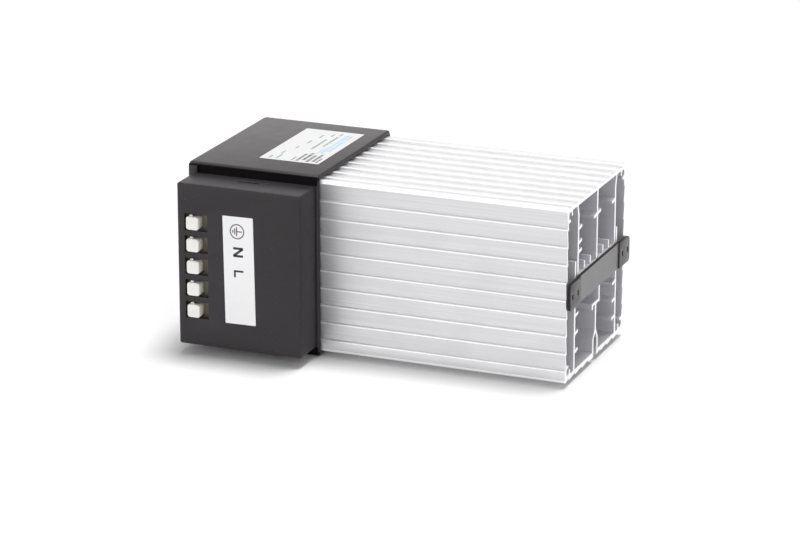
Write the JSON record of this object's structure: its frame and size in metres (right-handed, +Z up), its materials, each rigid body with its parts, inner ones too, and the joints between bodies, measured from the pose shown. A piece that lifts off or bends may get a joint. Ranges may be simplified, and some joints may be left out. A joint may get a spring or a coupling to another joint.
{
  "type": "enclosure heater",
  "caption": "Fan-driven enclosure heater: a ridged square aluminium duct with a finned section, a black fan cap, push-button spring terminals and a rail clip.",
  "frame": {"origin": "centre of the whole part's footprint, on the surface that it lies on", "axes": "+X along the air flow, from the fan's inlet to the outlet; -Y is the terminals' face, +Y the rail clip's side; +Z up as it lies"},
  "size_m": [0.182, 0.1056, 0.085],
  "materials": {
    "aluminium": "extruded, satin, mill finish",
    "black_plastic": "fine moulded texture",
    "terminal_plastic": "moulded, satin",
    "button_plastic": "moulded, satin",
    "spring_steel": "bright",
    "brass": "bright",
    "copper_winding": "enamelled copper on a core",
    "insulating_film": "smooth film",
    "heating_ceramic": "matt fired",
    "magnet": "matt",
    "circuit_board": "satin",
    "brown_lead": "smooth insulation",
    "blue_lead": "smooth insulation",
    "yellow_lead": "smooth insulation"
  },
  "bodies": {
    "housing": {"heatsink_profile": "aluminium", "cap": "black_plastic", "intake_guard": "black_plastic", "fan_frame": "black_plastic", "fan_bearing": "brass", "fan_stator": "copper_winding", "fan_circuit_board": "circuit_board", "duct_spacer": "black_plastic", "thermal_cutout": "spring_steel", "case_screw_1": "spring_steel", "case_screw_2": "spring_steel", "case_screw_3": "spring_steel", "case_screw_4": "spring_steel", "end_bar": "black_plastic", "lower_insulator": "insulating_film", "upper_insulator": "insulating_film", "lower_electrode": "aluminium", "upper_electrode": "aluminium", "heating_stone_1": "heating_ceramic", "heating_stone_2": "heating_ceramic", "heating_stone_3": "heating_ceramic", "heating_stone_4": "heating_ceramic", "terminal_cover": "black_plastic", "terminal_body_1": "terminal_plastic", "clamp_spring_1": "spring_steel", "contact_strip_1": "brass", "terminal_body_2": "terminal_plastic", "clamp_spring_2": "spring_steel", "contact_strip_2": "brass", "terminal_body_3": "terminal_plastic", "clamp_spring_3": "spring_steel", "contact_strip_3": "brass", "terminal_body_4": "terminal_plastic", "clamp_spring_4": "spring_steel", "contact_strip_4": "brass", "terminal_body_5": "terminal_plastic", "clamp_spring_5": "spring_steel", "contact_strip_5": "brass", "live_lead": "brown_lead", "neutral_lead": "blue_lead", "earth_lead": "yellow_lead", "rail_clip": "black_plastic", "rail_clip_screw_1": "spring_steel", "rail_clip_screw_2": "spring_steel"},
    "rotor": {"impeller": "black_plastic", "rotor_magnet": "magnet", "fan_shaft": "spring_steel"},
    "button_1": {"terminal_button_1": "button_plastic"},
    "button_2": {"terminal_button_2": "button_plastic"},
    "button_3": {"terminal_button_3": "button_plastic"},
    "button_4": {"terminal_button_4": "button_plastic"},
    "button_5": {"terminal_button_5": "button_plastic"}
  },
  "joints": [
    {"name": "fan_spin", "type": "hinge", "parent": "housing", "child": "rotor", "pos_m": [-0.076, 0.0078, 0.0425], "axis": [1, 0, 0], "continuous": true},
    {"name": "button_1_press", "type": "slide", "parent": "housing", "child": "button_1", "axis": [0, 1, 0], "range_m": [0, 0.002], "stiffness_N_per_m": 800},
    {"name": "button_2_press", "type": "slide", "parent": "housing", "child": "button_2", "axis": [0, 1, 0], "range_m": [0, 0.002], "stiffness_N_per_m": 800},
    {"name": "button_3_press", "type": "slide", "parent": "housing", "child": "button_3", "axis": [0, 1, 0], "range_m": [0, 0.002], "stiffness_N_per_m": 800},
    {"name": "button_4_press", "type": "slide", "parent": "housing", "child": "button_4", "axis": [0, 1, 0], "range_m": [0, 0.002], "stiffness_N_per_m": 800},
    {"name": "button_5_press", "type": "slide", "parent": "housing", "child": "button_5", "axis": [0, 1, 0], "range_m": [0, 0.002], "stiffness_N_per_m": 800}
  ]
}
